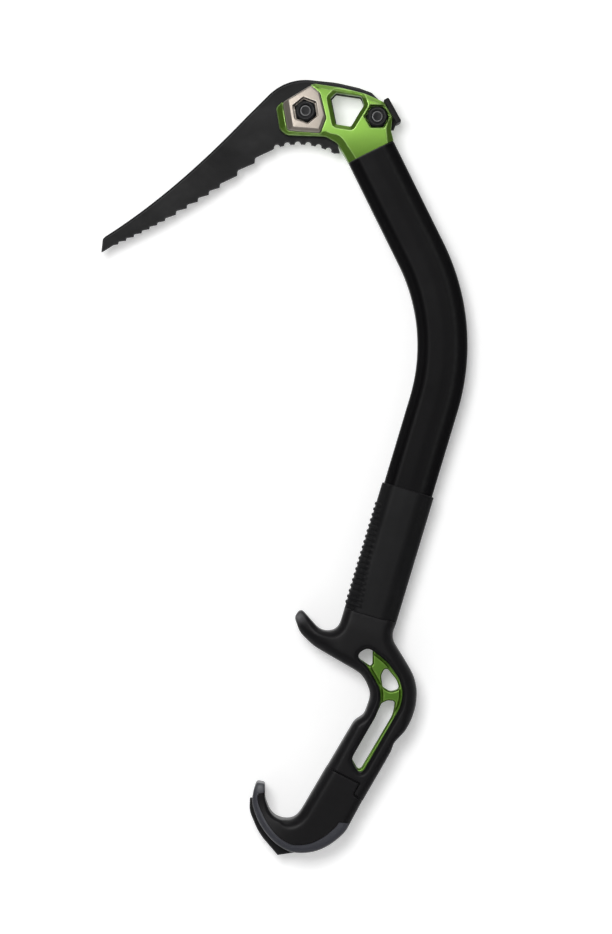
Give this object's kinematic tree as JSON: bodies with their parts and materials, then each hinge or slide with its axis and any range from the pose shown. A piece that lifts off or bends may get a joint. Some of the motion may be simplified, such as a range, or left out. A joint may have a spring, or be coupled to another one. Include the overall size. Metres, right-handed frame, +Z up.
{
  "type": "ice climbing tool",
  "caption": "Technical ice climbing tool with a bent shaft, toothed drop pick, forged head with window and side weights, small hammer, offset hooked handle and bottom spike.",
  "frame": {"origin": "middle of the hand on the lower grip, in the middle plane of the tool", "axes": "+Z up along the tool from the spike to the head, +X away from the pick, +Y towards the bolt heads"},
  "size_m": [0.2353, 0.032, 0.4981],
  "materials": {
    "dark_steel": "matte dark oxide",
    "green_alloy": "green anodised, satin",
    "weight_steel": "bead blasted",
    "black_steel": "black oxide",
    "nylon": "plain",
    "black_alloy": "black anodised, satin",
    "sleeve_rubber": "matte",
    "grip_plastic": "moulded, matte",
    "plain_steel": "turned",
    "bumper_rubber": "matte"
  },
  "bodies": {
    "tool": {"pick": "dark_steel", "head_forging": "green_alloy", "pick_weight_near": "weight_steel", "pick_weight_far": "weight_steel", "micro_hammer": "dark_steel", "front_nut": "black_steel", "front_nut_insert": "nylon", "rear_nut": "black_steel", "rear_nut_insert": "nylon", "shaft": "black_alloy", "grip_sleeve": "sleeve_rubber", "handle_core": "green_alloy", "handle_overmold": "grip_plastic", "handle_pin_upper": "plain_steel", "handle_pin_lower": "plain_steel", "pommel": "grip_plastic", "pommel_bumper": "bumper_rubber", "spike": "dark_steel", "spike_rivet_upper": "plain_steel", "spike_rivet_lower": "plain_steel"},
    "front_washer": {"front_washer": "black_steel"},
    "front_bolt": {"front_bolt": "black_steel"},
    "rear_washer": {"rear_washer": "black_steel"},
    "rear_bolt": {"rear_bolt": "black_steel"}
  },
  "joints": [
    {"name": "front_washer_lift", "type": "slide", "parent": "tool", "child": "front_washer", "axis": [0, 1, 0], "range_m": [0, 0.00751]},
    {"name": "front_bolt_turn", "type": "hinge", "parent": "front_washer", "child": "front_bolt", "pos_m": [-0.04028, 0, 0.40459], "axis": [0, 1, 0], "range_deg": [0, 2160]},
    {"name": "rear_washer_lift", "type": "slide", "parent": "tool", "child": "rear_washer", "axis": [0, 1, 0], "range_m": [0, 0.00751]},
    {"name": "rear_bolt_turn", "type": "hinge", "parent": "rear_washer", "child": "rear_bolt", "pos_m": [0.00572, 0, 0.40119], "axis": [0, 1, 0], "range_deg": [0, 2160]}
  ],
  "couplings": [
    {"joint": "front_washer_lift", "follows": "front_bolt_turn", "m_per_rad": 0.00019894},
    {"joint": "rear_washer_lift", "follows": "rear_bolt_turn", "m_per_rad": 0.00019894}
  ]
}
